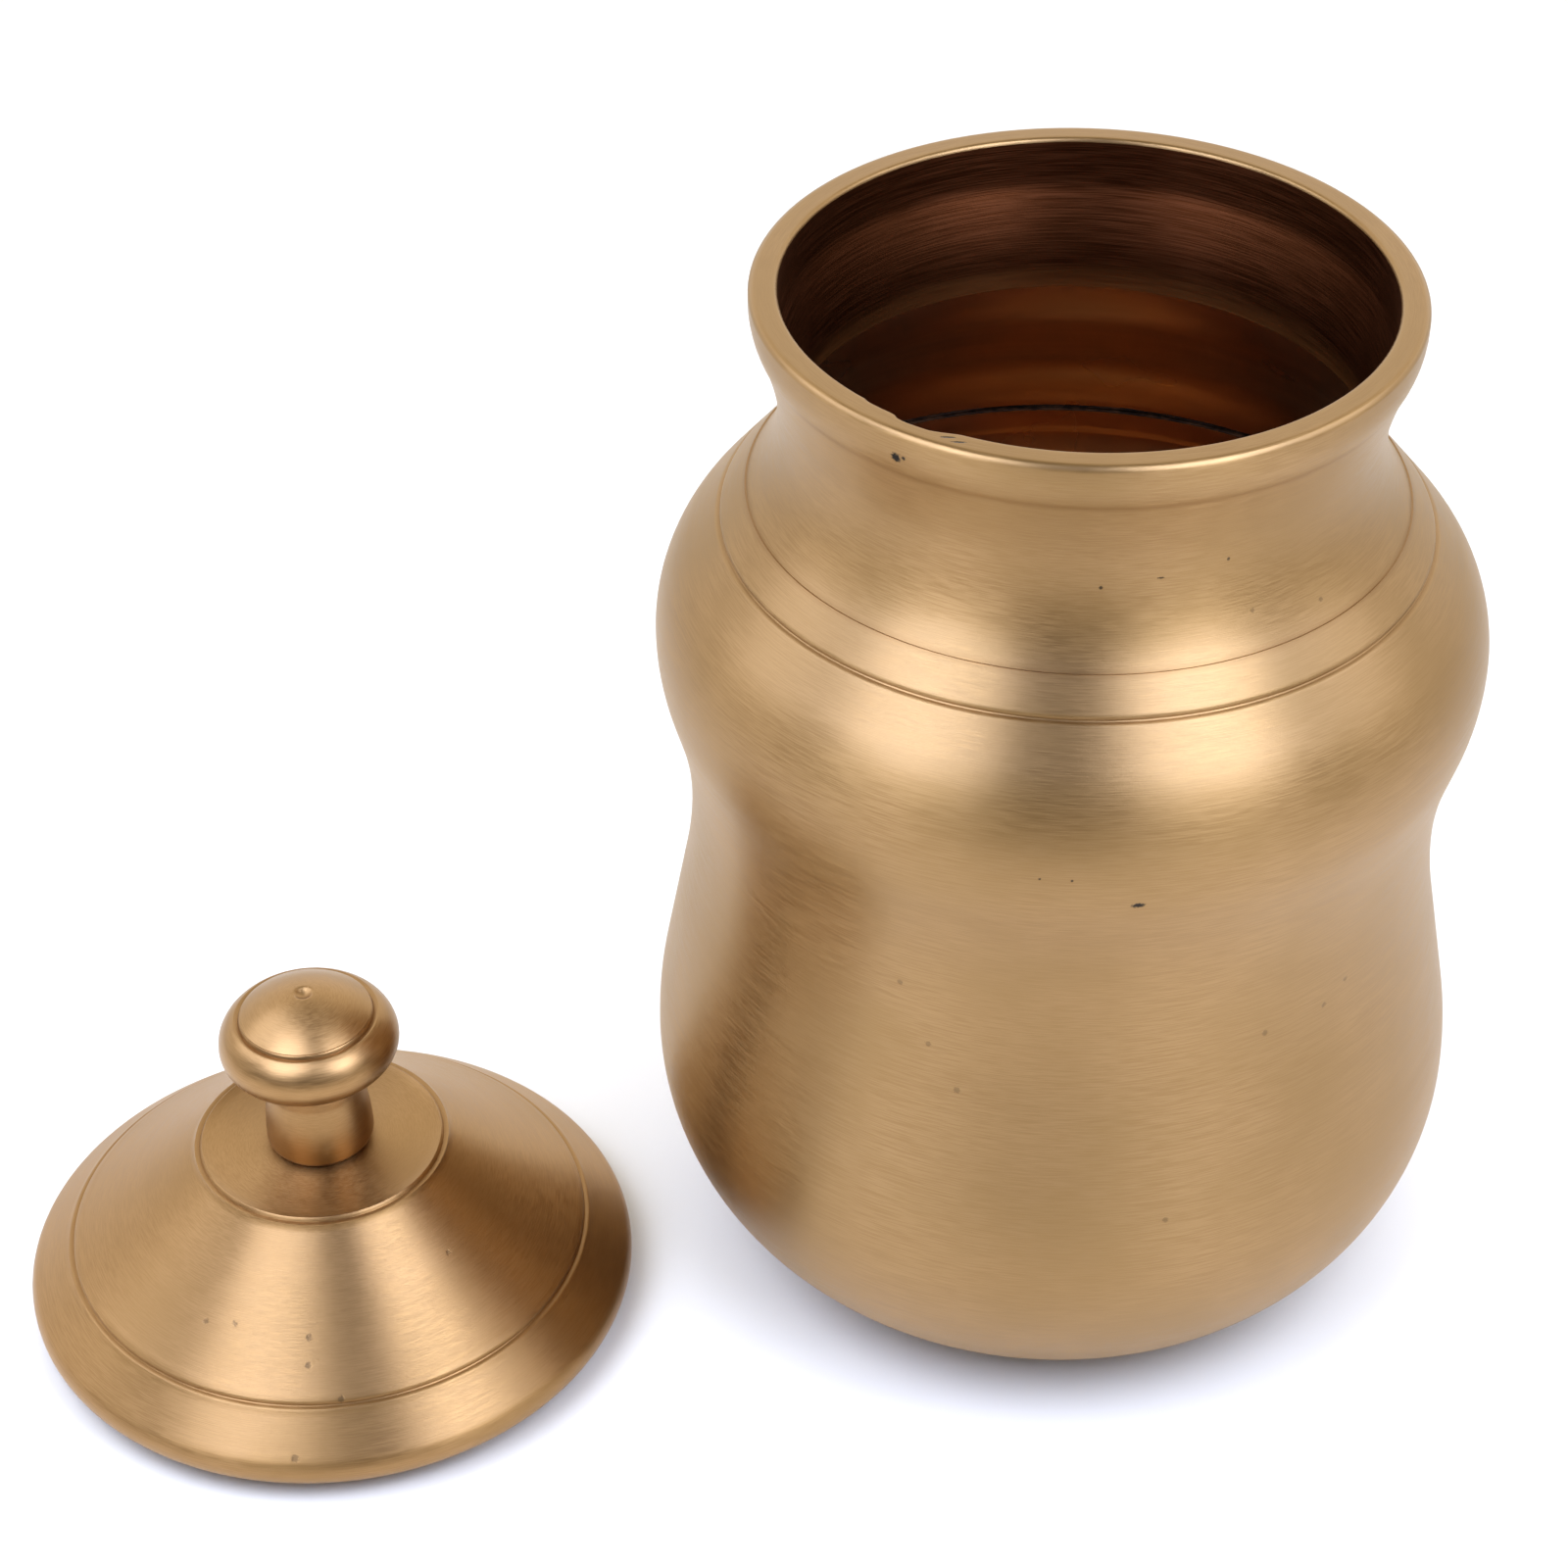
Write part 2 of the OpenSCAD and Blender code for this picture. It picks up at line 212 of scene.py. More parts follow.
# Centres of the pot's arcs
BASE_C = (BELLY_D / 2 - BASE_ROUND, BELLY_H)
BELLY_C = (BELLY_D / 2 - BELLY_ROUND, BELLY_H)
WAIST_LOW_C = (WAIST_D / 2 + WAIST_ROUND_LOW, WAIST_H)
WAIST_TOP_C = (WAIST_D / 2 + WAIST_ROUND_TOP, WAIST_H)
BULGE_LOW_C = (BULGE_D / 2 - BULGE_ROUND_LOW, SEAM_H)
BULGE_TOP_C = (BULGE_D / 2 - BULGE_ROUND_TOP, SEAM_H)
NECK_C = (NECK_D / 2 + NECK_ROUND, NECK_H)
FLARE_C = tuple(np.array(NECK_C) + (FLARE_ROUND - NECK_ROUND) * direction(-FLARE_SLOPE))
LIP_C = (RIM_D / 2 - LIP_ROUND, POT_H - LIP_LAND)
BELLY_SLOPE = tangent_slope(BELLY_C, BELLY_ROUND, WAIST_LOW_C, WAIST_ROUND_LOW, 1)
WAIST_SLOPE = tangent_slope(BULGE_LOW_C, BULGE_ROUND_LOW, WAIST_TOP_C, WAIST_ROUND_TOP, -1)
SHOULDER_SLOPE = tangent_slope(BULGE_TOP_C, BULGE_ROUND_TOP, NECK_C, NECK_ROUND, 1)
SHOULDER_START = np.array(BULGE_TOP_C) + BULGE_ROUND_TOP * direction(SHOULDER_SLOPE)
NECK_LINE = np.array(NECK_C) - NECK_ROUND * direction(SHOULDER_SLOPE)
SHOULDER_R = (SHOULDER_START[0]
              - (SHOULDER_H - SHOULDER_START[1]) * math.tan(math.radians(SHOULDER_SLOPE)))
SEAM_IN = BULGE_D / 2 - WALL - TONGUE_PROUD
SEAM_OUT = SEAM_IN + TONGUE_T + BRAZE_T
BEAD_C = np.array([SEAM_IN + BEAD_IN, SEAM_H + TONGUE_H + BEAD_UP])


def lower_side(height, inset=0.0):
    """Side of the lower half, from a height near the base up to the seam."""
    return (arc(BASE_C, BASE_ROUND, slope_at(BASE_C, BASE_ROUND, height, inset), 0, inset)
            + arc(BELLY_C, BELLY_ROUND, 0, BELLY_SLOPE, inset)
            + arc(WAIST_LOW_C, -WAIST_ROUND_LOW, BELLY_SLOPE, 0, inset)
            + arc(WAIST_TOP_C, -WAIST_ROUND_TOP, 0, WAIST_SLOPE, inset)
            + arc(BULGE_LOW_C, BULGE_ROUND_LOW, WAIST_SLOPE, 0, inset))


def upper_outside():
    """Outside of the upper half, from the seam to the rim's inner edge."""
    shoulder = direction(SHOULDER_SLOPE + 90)
    groove_at = np.array([SHOULDER_R, SHOULDER_H])
    count = int(NECK_ROUND * math.radians(SHOULDER_SLOPE) / STEP)
    turned_neck = [np.array(NECK_C) - (NECK_ROUND + NECK_STEP * (1 - i / count)) *
                   direction(SHOULDER_SLOPE * (1 - i / count)) for i in range(count + 1)]
    points = arc(BULGE_TOP_C, BULGE_ROUND_TOP, 0, SHOULDER_SLOPE)
    points += run(points[-1], groove_at - shoulder * GROOVE_W)
    points += groove(groove_at, SHOULDER_SLOPE)
    points += run(groove_at + shoulder * GROOVE_W, NECK_LINE - shoulder * FINE_STEP)
    points += turned_neck
    points += arc(NECK_C, -NECK_ROUND, 0, -FLARE_SLOPE)
    points += arc(FLARE_C, -FLARE_ROUND, -FLARE_SLOPE, slope_at(FLARE_C, -FLARE_ROUND, LIP_H))
    points += arc(LIP_C, LIP_ROUND, slope_at(LIP_C, LIP_ROUND, LIP_H), 0)
    points += arc((RIM_D / 2 - RIM_EDGE, POT_H - RIM_EDGE), RIM_EDGE, 0, 90, step=FINE_STEP)
    points += run(points[-1], (MOUTH_D / 2 + MOUTH_EDGE, POT_H), 0.4)
    points += arc((MOUTH_D / 2 + MOUTH_EDGE, POT_H - MOUTH_EDGE), MOUTH_EDGE, 90, 180,
                  step=FINE_STEP)
    return points


def upper_inside():
    """Inside of the upper half, from the rim's inner edge down to the seam."""
    side = (arc(BULGE_TOP_C, BULGE_ROUND_TOP, 0, SHOULDER_SLOPE, WALL)
            + arc(NECK_C, -NECK_ROUND, SHOULDER_SLOPE, -FLARE_SLOPE, WALL)
            + arc(FLARE_C, -FLARE_ROUND, -FLARE_SLOPE,
                  slope_at(FLARE_C, -FLARE_ROUND, LIP_H, WALL), WALL))
    recess_top = SEAM_H + TONGUE_H + BRAZE_GAP
    side = [p for p in side if not (p[1] > NECK_H and p[0] > MOUTH_D / 2)]
    side = [p for p in side if p[1] > recess_top]
    land = run((MOUTH_D / 2, POT_H - MOUTH_EDGE), (MOUTH_D / 2, side[-1][1] + STEP))
    recess = [(side[0][0], recess_top), (SEAM_OUT, recess_top), (SEAM_OUT, SEAM_H)]
    return land + side[::-1] + recess


def lower_outline():
    """The lower half: base, side, tongue, inside and floor."""
    bottom = lower_side(0)
    inside = [p for p in lower_side(FLOOR_T, WALL) if p[1] < SEAM_H - TONGUE_ROOT]
    edge = TONGUE_EDGE
    tongue_out = SEAM_IN + TONGUE_T
    top = SEAM_H + TONGUE_H
    tongue = ([(BULGE_D / 2, SEAM_H), (tongue_out, SEAM_H)]
              + arc((tongue_out - edge, top - edge), edge, 0, 90, step=FINE_STEP)
              + arc((SEAM_IN + edge, top - edge), edge, 90, 180, step=FINE_STEP)
              + run((SEAM_IN, top - edge), (SEAM_IN, SEAM_H - TONGUE_ROOT))
              + [(inside[-1][0], SEAM_H - TONGUE_ROOT - TONGUE_PROUD)])
    return (run((0, 0), bottom[0], 4.0) + bottom + tongue + inside[::-1]
            + run(inside[0], (0, FLOOR_T), 4.0))


def cone_side(drop=0.0):
    """The slightly hollow cone, from the band's groove up to the platform."""
    count = 30
    slope = (PLATFORM_H - BAND_H) / count
    return [np.array([BAND_D / 2 + (PLATFORM_D - BAND_D) / 2 * i / count,
                      BAND_H + slope * i - 4 * CONE_SAG * (i / count) * (1 - i / count) - drop])
            for i in range(count + 1)]


def lid_outline():
    """The lid's shell, closed round its wall."""
    edge_h = SEAT_H + EDGE_UNDER
    cone = cone_side()
    cone_slope = math.degrees(math.atan2((BAND_D - PLATFORM_D) / 2, PLATFORM_H - BAND_H))
    drop = LID_T / math.sin(math.radians(cone_slope))
    band_end = np.array([LID_D / 2 - EDGE_ROUND, edge_h]) + EDGE_ROUND * direction(BAND_SLOPE)
    band_at, platform_at = np.array([BAND_D / 2, BAND_H]), np.array([PLATFORM_D / 2, PLATFORM_H])
    along = direction(BAND_SLOPE + 90)
    outside = arc((LID_D / 2 - EDGE_UNDER, edge_h), EDGE_UNDER, -90, 0, step=0.3)
    outside += arc((LID_D / 2 - EDGE_ROUND, edge_h), EDGE_ROUND, 0, BAND_SLOPE, step=0.3)
    outside += run(band_end, band_at - along * GROOVE_W) + groove(band_at, BAND_SLOPE + 3)
    outside += [p for p in cone if GROOVE_W < p[1] - BAND_H and p[1] < PLATFORM_H - CONE_STOP]
    outside += groove(platform_at, PLATFORM_GROOVE_SLOPE, PLATFORM_GROOVE_W, PLATFORM_GROOVE_DEPTH)
    count = 24
    dip = [PLATFORM_DIP * math.sin(math.radians(180 * min(1, i / count / DIP_SHARE)))
           for i in range(count + 1)]
    dish = [np.array([PLATFORM_D / 2 * (1 - i / count), PLATFORM_H - dip[i]])
            for i in range(2, count + 1)]
    dish = [p for p in dish if p[0] > SCREW_HOLE / 2]
    under = cone_side(drop)
    recess = [(REGISTER_D / 2, SEAT_H), (REGISTER_D / 2, REGISTER_TOP),
              (REGISTER_D / 2 - REGISTER_T, REGISTER_TOP)]
    return (outside + dish + [(SCREW_HOLE / 2, PLATFORM_H), (SCREW_HOLE / 2, PLATFORM_H - drop)]
            + under[::-1] + recess)


def knob_outline():
    """The knob above its platform, with its dished centre mark."""
    cap_c = np.array([KNOB_D / 2 - CAP_ROUND, KNOB_H])
    low_c = (KNOB_D / 2 - CAP_LOW_ROUND, KNOB_H)
    dome = cap_c + CAP_ROUND * direction(CAP_SLOPE)
    flank = math.degrees(math.acos(1 - (FOOT_D - STEM_D) / (2 * FLANK_ROUND)))
    foot_c = (FOOT_D / 2 - FOOT_ROUND, FOOT_ROUND)
    points = [np.array([0, 0.0]), np.array([foot_c[0], 0.0])]
    points += arc(foot_c, FOOT_ROUND, -75, 0, step=0.2)
    points += arc((FOOT_D / 2 - FLANK_ROUND, FOOT_ROUND), FLANK_ROUND, 0, flank, step=0.5)
    throat = np.array([STEM_D / 2, STEM_TOP])
    low = arc(low_c, CAP_LOW_ROUND, -75, 0, step=0.25)
    points += run(points[-1], throat, 0.4)
    blend = 10
    points += [throat + (low[0] - throat) * np.array([(i / blend) ** THROAT_BLEND, i / blend])
               for i in range(1, blend)]
    points += low + arc(cap_c, CAP_ROUND, 0, CAP_SLOPE - 5, step=0.25)
    points += groove(dome, CAP_SLOPE, CAP_GROOVE_W, CAP_GROOVE_DEPTH)
    count = 40
    for i in range(2, count + 1):
        r = dome[0] * (1 - i / count)
        dish = MARK_DEPTH * max(0.0, 1 - (r / MARK_R) ** 2)
        points.append(np.array([r, KNOB_TOP - (KNOB_TOP - dome[1]) * (r / dome[0]) ** 2 - dish]))
    return points


def near(points, spots, width):
    """For each outline point, 1 on one of the spots, falling to 0 within about twice the width."""
    out = np.zeros(len(points))
    for spot in spots:
        away = np.linalg.norm(points - np.array(spot), axis=1)
        out = np.maximum(out, np.exp(-(away / width) ** 2))
    return out


def lathe(name, outline, around, materials, slot_of=None, shaded_creases=(), highlight_edges=(), closed=False,
          shape=None):
    """Smooth turned mesh on the Z axis from an outline in millimetres.
    It stores, per point, the place along the outline, the weight of painted shade at each groove
    and crease, and the weight of a painted highlight on each rounded edge. slot_of picks each
    face's material, and shape bends a ring out of round."""
    points = np.array([np.array(p, float) for p in outline])
    keep = np.r_[True, np.linalg.norm(np.diff(points, axis=0), axis=1) > 1e-3]
    points = points[keep]
    along = np.r_[0, np.cumsum(np.linalg.norm(np.diff(points, axis=0), axis=1))]
    weights = {"along": along, "groove": near(points, shaded_creases, CREASE_SHADE_W),
               "edge": near(points, highlight_edges, EDGE_HIGHLIGHT_W)}
    angles = 2 * math.pi * np.arange(around) / around
    rows, vertices, values = [], [], {k: [] for k in weights}
    for i, (r, z) in enumerate(points):
        start = len(vertices)
        if r < 1e-6:
            ring = [(0.0, 0.0, z)]
        else:
            radius, height = (r - SKIN, z) if shape is None else shape(r - SKIN, z, angles)
            ring = np.c_[radius * np.sin(angles), -radius * np.cos(angles),
                         height * np.ones(around)].tolist()
        vertices += ring
        rows.append((start, len(ring)))
        for key in weights:
            values[key] += [weights[key][i]] * len(ring)
    pairs = list(zip(range(len(rows) - 1), range(1, len(rows))))
    if closed:
        pairs.append((len(rows) - 1, 0))
    faces, slots = [], []
    for low, high in pairs:
        (a, na), (b, nb) = rows[low], rows[high]
        slot = slot_of((points[low] + points[high]) / 2, low) if slot_of else 0
        for k in range(around):
            j = (k + 1) % around
            if na == 1:
                faces.append((a, b + j, b + k))
            elif nb == 1:
                faces.append((a + k, a + j, b))
            else:
                faces.append((a + k, a + j, b + j, b + k))
            slots.append(slot)
    mesh = bpy.data.meshes.new(name)
    mesh.from_pydata((np.array(vertices) * MM).tolist(), [], faces)
    for material in materials:
        mesh.materials.append(material)
    mesh.polygons.foreach_set("material_index", slots)
    for key, value in values.items():
        attribute = mesh.attributes.new(key, "FLOAT", "POINT")
        attribute.data.foreach_set("value", np.array(value, np.float32))
    mesh.shade_smooth()
    mesh.set_sharp_from_angle(angle=math.radians(SHARP_ANGLE))
    mesh.update()
    piece = bpy.data.objects.new(name, mesh)
    SCENE.collection.objects.link(piece)
    return piece


def finish_piece(piece, body, slot, *nodes):
    """Ties a piece to its body and hides the CAD nodes that it stands for; slot is not used."""
    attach(piece, body)
    if nodes:
        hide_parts(*nodes)


def spot_on(r, azimuth, height):
    """Point in millimetres at a distance from the axis, an azimuth from the front, positive to
    the right, and a height."""
    a = math.radians(azimuth)
    return (r * math.sin(a), -r * math.cos(a), height)


def spot_at(outline, azimuth, height):
    """Point of a turned surface at an azimuth and a height."""
    return spot_on(min(outline, key=lambda p: abs(p[1] - height))[0], azimuth, height)


def lumpy(r, z, angles):
    """A bead of filler wanders and swells round its ring."""
    swell = (0.12 * np.sin(13 * angles) + 0.1 * np.sin(29 * angles + 1.3)
             + 0.07 * np.sin(61 * angles + 0.4))
    return (r + (r - BEAD_C[0]) * swell * 2 - 0.3 * swell,
            z + (z - BEAD_C[1]) * swell * 1.6 + 0.12 * np.sin(17 * angles + 0.8))


def nicked(r, z, angles):
    """The mouth's inner edge is chipped outwards for a short way on the left of the front."""
    azimuth = (np.degrees(angles) + 180) % 360 - 180
    depth = np.interp(azimuth, *zip(*NICK))
    share = (min(1.0, max(0.0, (z - POT_H + NICK_DROP) / NICK_WIDTH))
             * min(1.0, max(0.0, (MOUTH_D / 2 + NICK_WIDTH - r) / NICK_WIDTH)))
    return r + depth * share * (r > MOUTH_D / 2 - 0.5), z


RANGE_KEYS = ("From Min", "From Max", "To Min", "To Max")


class Shader:
    """Short ways to build one material's node tree."""

    def __init__(self, name):
        self.material = bpy.data.materials.new(name)
        self.material.use_nodes = True
        self.tree = self.material.node_tree
        self.tree.nodes.clear()
        self.output = self.tree.nodes.new("ShaderNodeOutputMaterial")
        self.bsdf = self.tree.nodes.new("ShaderNodeBsdfPrincipled")
        self.link(self.bsdf.outputs[0], self.output.inputs[0])

    def link(self, a, b):
        self.tree.links.new(a, b)

    def put(self, value, socket):
        """Links an output, or sets a constant."""
        if isinstance(value, bpy.types.NodeSocket):
            self.link(value, socket)
        else:
            socket.default_value = value

    def attribute(self, name):
        node = self.tree.nodes.new("ShaderNodeAttribute")
        node.attribute_name = name
        return node.outputs["Fac"]

    def place(self):
        """Position on the object, in metres."""
        return self.tree.nodes.new("ShaderNodeTexCoord").outputs["Object"]

    def math(self, operation, a, b):
        node = self.tree.nodes.new("ShaderNodeMath")
        node.operation = operation
        self.put(a, node.inputs[0])
        self.put(b, node.inputs[1])
        return node.outputs[0]

    def spread(self, value, low, high, to_low=0.0, to_high=1.0):
        """Maps a range smoothly to another."""
        node = self.tree.nodes.new("ShaderNodeMapRange")
        node.interpolation_type = "SMOOTHSTEP"
        self.put(value, node.inputs["Value"])
        for key, number in zip(RANGE_KEYS, (low, high, to_low, to_high)):
            node.inputs[key].default_value = number
        return node.outputs["Result"]

    def mix(self, share, a, b):
        """Mixes two colours."""
        node = self.tree.nodes.new("ShaderNodeMix")
        node.data_type = "RGBA"
        self.put(share, node.inputs[0])
        for value, socket in ((a, node.inputs[6]), (b, node.inputs[7])):
            self.put(value if isinstance(value, bpy.types.NodeSocket) else (*value, 1.0), socket)
        return node.outputs[2]

    def noise(self, vector, scale, detail=2.0, roughness=0.5):
        node = self.tree.nodes.new("ShaderNodeTexNoise")
        self.put(vector, node.inputs["Vector"])
        for key, number in (("Scale", scale), ("Detail", detail), ("Roughness", roughness)):
            node.inputs[key].default_value = number
        return node.outputs["Fac"]

    def turned(self, around, across):
        """Coordinates that run round the axis: features come out long round it and thin across
        the outline. around is in features per turn and across in features per millimetre."""
        split = self.tree.nodes.new("ShaderNodeSeparateXYZ")
        flat = self.tree.nodes.new("ShaderNodeVectorMath")
        flat.operation = "MULTIPLY"
        self.link(self.place(), flat.inputs[0])
        flat.inputs[1].default_value = (1, 1, 0)
        unit = self.tree.nodes.new("ShaderNodeVectorMath")
        unit.operation = "NORMALIZE"
        self.link(flat.outputs[0], unit.inputs[0])
        self.link(unit.outputs[0], split.inputs[0])
        join = self.tree.nodes.new("ShaderNodeCombineXYZ")
        spin = around / (2 * math.pi)
        self.link(self.math("MULTIPLY", split.outputs[0], spin), join.inputs[0])
        self.link(self.math("MULTIPLY", split.outputs[1], spin), join.inputs[1])
        self.link(self.math("MULTIPLY", self.attribute("along"), across), join.inputs[2])
        return join.outputs[0]

    def bump(self, height, strength, distance):
        node = self.tree.nodes.new("ShaderNodeBump")
        node.inputs["Strength"].default_value = strength
        node.inputs["Distance"].default_value = distance
        self.link(height, node.inputs["Height"])
        return node.outputs[0]

    def spot(self, centre, radius, stretch=(1, 1, 1)):
        """1 inside a small ragged spot at a point of the object, in millimetres, and 0 outside."""
        away = self.tree.nodes.new("ShaderNodeVectorMath")
        away.operation = "SUBTRACT"
        self.link(self.place(), away.inputs[0])
        away.inputs[1].default_value = [c * MM for c in centre]
        scaled = self.tree.nodes.new("ShaderNodeVectorMath")
        scaled.operation = "MULTIPLY"
        self.link(away.outputs[0], scaled.inputs[0])
        scaled.inputs[1].default_value = stretch
        length = self.tree.nodes.new("ShaderNodeVectorMath")
        length.operation = "LENGTH"
        self.link(scaled.outputs[0], length.inputs[0])
        ragged = self.noise(self.place(), 3500.0, 2.0)
        ragged = self.math("MULTIPLY", ragged, radius * MM)
        distance = self.math("ADD", length.outputs["Value"], ragged)
        return self.spread(distance, radius * MM * 1.55, radius * MM * 1.0)

    def tangent(self):
        node = self.tree.nodes.new("ShaderNodeTangent")
        node.direction_type, node.axis = "RADIAL", "Z"
        return node.outputs[0]


def toned(tint, *factors):
    """A colour with each channel scaled, by one factor each or by one for all, and capped at 1."""
    if len(factors) == 1:
        factors = factors * 3
    return tuple(min(1.0, c * k) for c, k in zip(tint, factors))


def satin_brass(name, tint=BRASS, roughness=0.42, anisotropy=0.79, streak=0.22, coat=0.38,
                around=70.0, contrast=1.0, spots=(), below=None):
    """Brass brushed round the axis on the lathe, with painted shade darkening each groove and
    crease, a painted highlight lightening each rounded edge, and small pits. streak is the
    brushing's depth, contrast its difference in colour, and around its features per turn. Under
    NECK_FINISH_H it fades to a darker copy of the colour given as below, as painted shade deep in
    the neck."""
    s = Shader(name)
    fine = s.noise(s.turned(around, 6.5), 1.0, 2.0, 0.6)
    broad = s.noise(s.turned(around / 5, 0.5), 1.0, 2.0, 0.5)
    cloud = s.noise(s.place(), 38.0, 3.0, 0.55)
    light = toned(tint, 1 + 0.09 * contrast)
    dark = toned(tint, *(1 - k * contrast for k in (0.10, 0.13, 0.18)))
    streaks = s.math("ADD", s.math("MULTIPLY", fine, 0.88), s.math("MULTIPLY", broad, 0.12))
    colour = s.mix(s.spread(streaks, 0.36, 0.64), dark, light)
    colour = s.mix(s.spread(cloud, 0.38, 0.68, 0.0, 0.5), colour, toned(tint, 0.87, 0.85, 0.74))
    # Painted shade darkens each groove and crease
    colour = s.mix(s.math("MULTIPLY", s.attribute("groove"), 0.5), colour,
                   toned(tint, 0.68, 0.58, 0.45))
    # A painted highlight lightens each rounded edge
    colour = s.mix(s.math("MULTIPLY", s.attribute("edge"), 0.4), colour, toned(tint, 1.1))
    # Painted shade: deep in the neck the colour fades to a darker copy of below
    if below:
        split = s.tree.nodes.new("ShaderNodeSeparateXYZ")
        s.link(s.place(), split.inputs[0])
        ragged = s.math("ADD", split.outputs[2], s.math("MULTIPLY", broad, 0.003))
        fade = s.spread(ragged, (NECK_FINISH_H - 1) * MM, (NECK_FINISH_H + 4) * MM, 1.0, 0.0)
        colour = s.mix(fade, colour, toned(below, 0.5, 0.36, 0.22))
    pit = None
    for centre, radius, depth, stretch in spots:
        mask = s.math("MULTIPLY", s.spot(centre, radius, (stretch, 1, 1)), depth)
        pit = mask if pit is None else s.math("MAXIMUM", pit, mask)
    height = streaks
    if pit is not None:
        colour = s.mix(pit, colour, PIT_COLOUR)
        height = s.math("SUBTRACT", height, s.math("MULTIPLY", pit, 4.0))
    rough = s.spread(fine, 0.3, 0.7, roughness - 0.05, roughness + 0.07)
    s.put(colour, s.bsdf.inputs["Base Color"])
    s.put(rough, s.bsdf.inputs["Roughness"])
    s.put(s.bump(height, streak, 0.00008), s.bsdf.inputs["Normal"])
    s.bsdf.inputs["Metallic"].default_value = 1.0
    s.bsdf.inputs["Anisotropic"].default_value = anisotropy
    s.bsdf.inputs["Anisotropic Rotation"].default_value = 0.25
    s.bsdf.inputs["Coat Weight"].default_value = coat
    s.bsdf.inputs["Coat Roughness"].default_value = 0.35
    s.link(s.tangent(), s.bsdf.inputs["Tangent"])
    return s.material


def cast_brass(name, tint=CAST, roughness=0.27):
    """Brass left as it was cast: browner, glossier and unevenly stained."""
    s = Shader(name)
    stain = s.noise(s.place(), 40.0, 2.0, 0.5)
    grain = s.noise(s.place(), 900.0, 2.0, 0.6)
    rings = s.noise(s.turned(9.0, 0.3), 1.0, 2.0, 0.5)
    colour = s.mix(s.spread(stain, 0.25, 0.8), tint, toned(tint, 0.82))
    colour = s.mix(s.spread(rings, 0.35, 0.75, 0.0, 0.4), colour, toned(tint, 1.15))
    s.put(colour, s.bsdf.inputs["Base Color"])
    s.put(s.spread(stain, 0.2, 0.8, roughness - 0.02, roughness + 0.08), s.bsdf.inputs["Roughness"])
    s.put(s.bump(grain, 0.12, 0.00005), s.bsdf.inputs["Normal"])
    s.bsdf.inputs["Metallic"].default_value = 1.0
    return s.material


def dark_braze(name):
    """Oxidised filler in the seam: nearly black, matt and lumpy."""
    s = Shader(name)
    lumps = s.noise(s.place(), 700.0, 3.0, 0.6)
    s.put(s.mix(s.spread(lumps, 0.35, 0.7), (0.018, 0.010, 0.006), (0.07, 0.036, 0.018)),
          s.bsdf.inputs["Base Color"])
    s.put(s.spread(lumps, 0.3, 0.7, 0.65, 0.85), s.bsdf.inputs["Roughness"])
    s.put(s.bump(lumps, 0.6, 0.0002), s.bsdf.inputs["Normal"])
    s.bsdf.inputs["Metallic"].default_value = 0.0
    s.bsdf.inputs["Specular IOR Level"].default_value = 0.15
    return s.material


def plain_brass(name):
    """Small turned or rolled fittings, a little dull."""
    s = Shader(name)
    cloud = s.noise(s.place(), 300.0, 3.0, 0.6)
    s.put(s.mix(s.spread(cloud, 0.35, 0.7), (0.55, 0.36, 0.18), (0.42, 0.26, 0.12)),
          s.bsdf.inputs["Base Color"])
    s.put(s.spread(cloud, 0.3, 0.7, 0.34, 0.5), s.bsdf.inputs["Roughness"])
    s.put(s.bump(cloud, 0.3, 0.00005), s.bsdf.inputs["Normal"])
    s.bsdf.inputs["Metallic"].default_value = 1.0
    return s.material


def make_camera():
    """Looks down on the pot from in front of it, as the photograph does."""
    data = bpy.data.cameras.new("camera")
    data.sensor_width, data.lens = SENSOR_W, LENS
    data.clip_start, data.clip_end = 0.01, 20.0
    camera = bpy.data.objects.new("camera", data)
    camera.location = CAMERA_AT
    camera.rotation_euler = Euler(CAMERA_TURN, "XYZ")
    SCENE.collection.objects.link(camera)
    SCENE.camera = camera


def area_light(name, azimuth, elevation, distance, size, power, target=AIM, colour=BOX_COLOUR,
               glossy=True):
    """Soft box at an azimuth from the front, positive to the right, aimed at a point. Without
    glossy it lights the scene but the brass doesn't mirror it."""
    data = bpy.data.lights.new(name, "AREA")
    data.shape, data.size, data.size_y, data.energy = "ELLIPSE", size[0], size[1], power
    data.color = colour
    a, e = math.radians(azimuth), math.radians(elevation)
    light = bpy.data.objects.new(name, data)
    offset = Vector((math.sin(a) * math.cos(e), -math.cos(a) * math.cos(e), math.sin(e))) * distance
    light.location = Vector(target) + offset
    light.rotation_euler = offset.to_track_quat("Z", "Y").to_euler()
    light.visible_camera = False
    light.visible_glossy = glossy
    SCENE.collection.objects.link(light)


